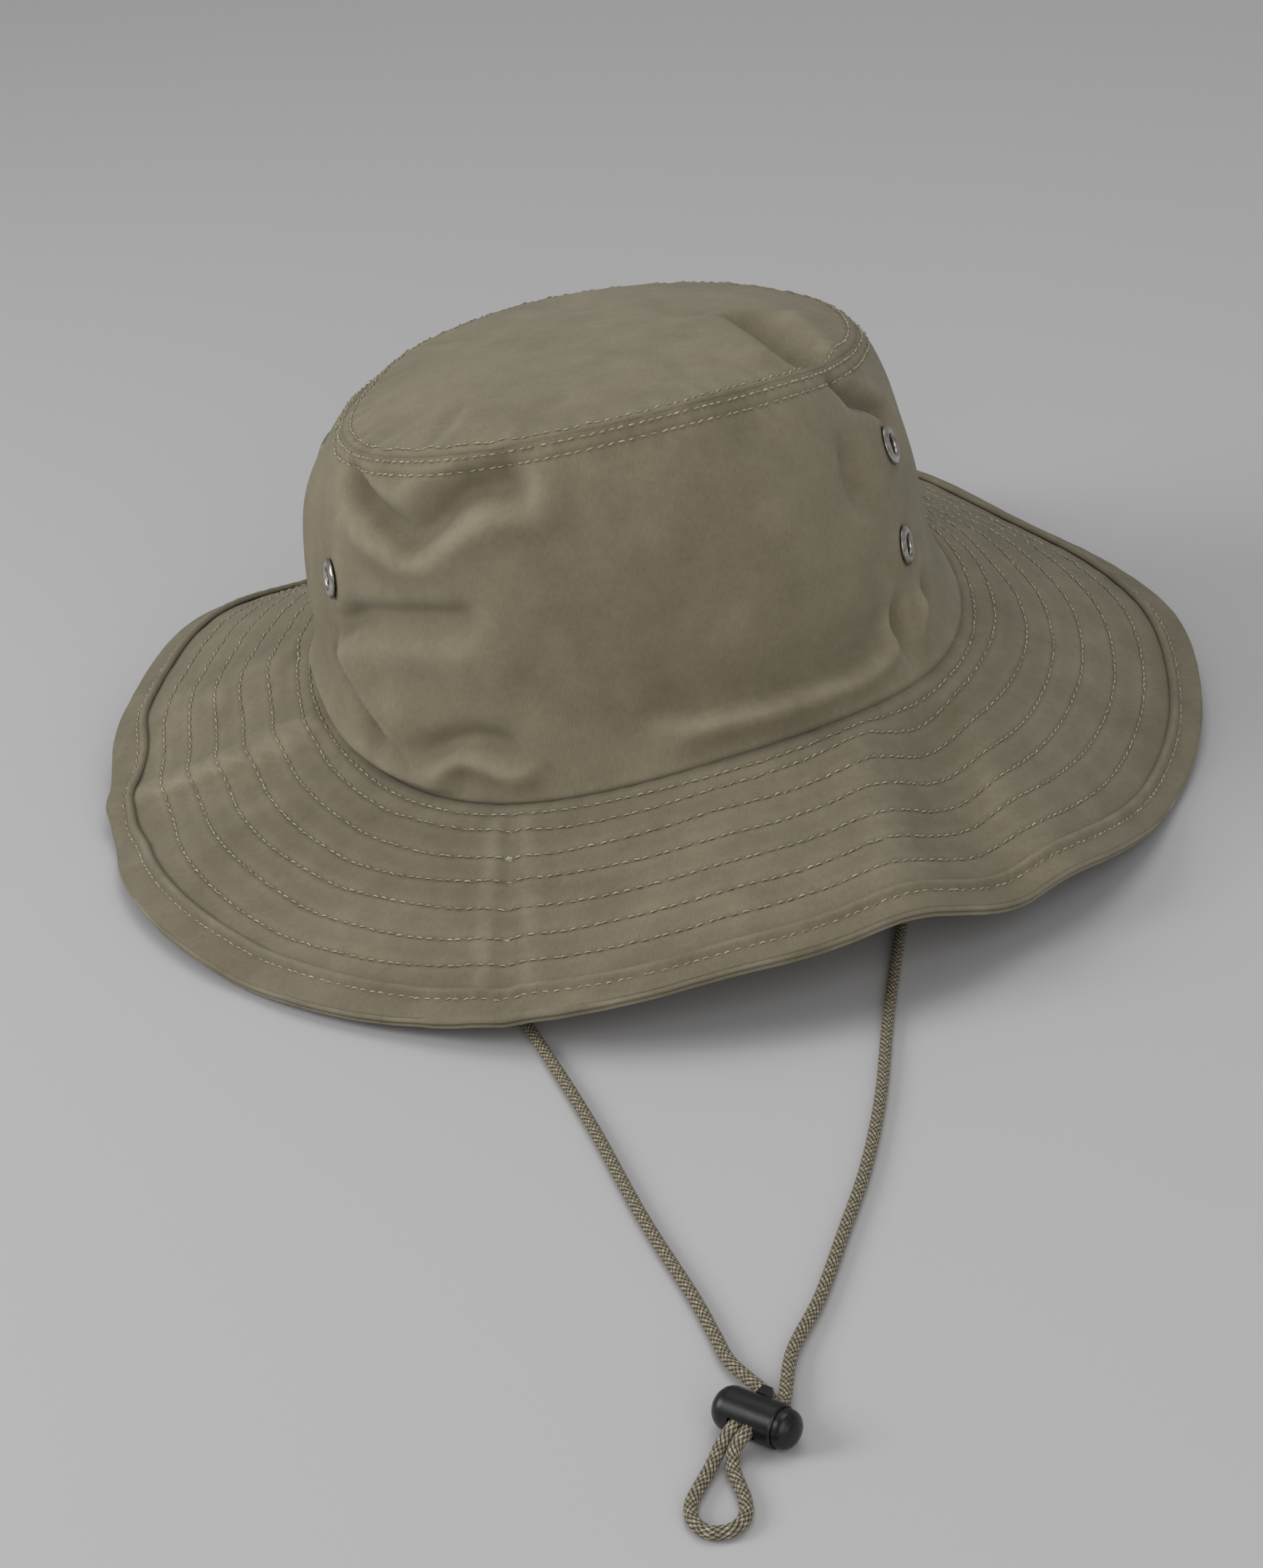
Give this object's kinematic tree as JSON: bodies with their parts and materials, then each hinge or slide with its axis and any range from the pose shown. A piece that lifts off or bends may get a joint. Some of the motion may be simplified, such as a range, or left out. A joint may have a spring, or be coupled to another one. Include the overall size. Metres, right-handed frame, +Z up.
{
  "type": "boonie hat",
  "caption": "Soft cotton sun hat with a round flat-topped crown, a wide quilted brim with bound edge, vent eyelets and a chin cord with a sliding spring lock.",
  "frame": {"origin": "middle of the brim's outline, on the surface that the brim rests on", "axes": "+Z up through the crown, the front of the hat and the chin cord towards -Y, +X to the right as seen from the front"},
  "size_m": [0.3224, 0.531, 0.1388],
  "materials": {
    "shell_cloth": "washed cotton twill, matt, worn lighter at the folds",
    "band_tape": "soft cotton tape",
    "stiffener": "plain woven stiffening cloth, hidden between the brim plies",
    "nickel": "bright nickel plating over brass",
    "cord_braid": "round braid of olive and beige yarns",
    "lock_plastic": "smooth black moulded plastic, satin gloss",
    "spring_steel": "plain spring wire"
  },
  "bodies": {
    "hat": {"crown_tip": "shell_cloth", "crown_wall": "shell_cloth", "sweatband": "band_tape", "brim_top": "shell_cloth", "brim_stiffener": "stiffener", "brim_under": "shell_cloth", "brim_binding": "shell_cloth", "eyelet_left_lower": "nickel", "eyelet_left_upper": "nickel", "eyelet_right_lower": "nickel", "eyelet_right_upper": "nickel", "washer_left_lower": "nickel", "washer_left_upper": "nickel", "washer_right_lower": "nickel", "washer_right_upper": "nickel", "chin_cord": "cord_braid", "cord_tab_left": "band_tape", "cord_tab_right": "band_tape"},
    "lock": {"lock_body": "lock_plastic", "lock_spring": "spring_steel"},
    "button": {"lock_button": "lock_plastic"}
  },
  "joints": [
    {"name": "lock_slide", "type": "slide", "parent": "hat", "child": "lock", "axis": [0, 1, 0], "range_m": [-0.018, 0.14], "deforming": ["chin_cord"]},
    {"name": "button_press", "type": "slide", "parent": "lock", "child": "button", "axis": [-0.7716, 0.6361, 0], "range_m": [0, 0.0028], "stiffness_N_per_m": 1500, "springref_m": -0.0015, "deforming": ["lock_spring"]}
  ]
}
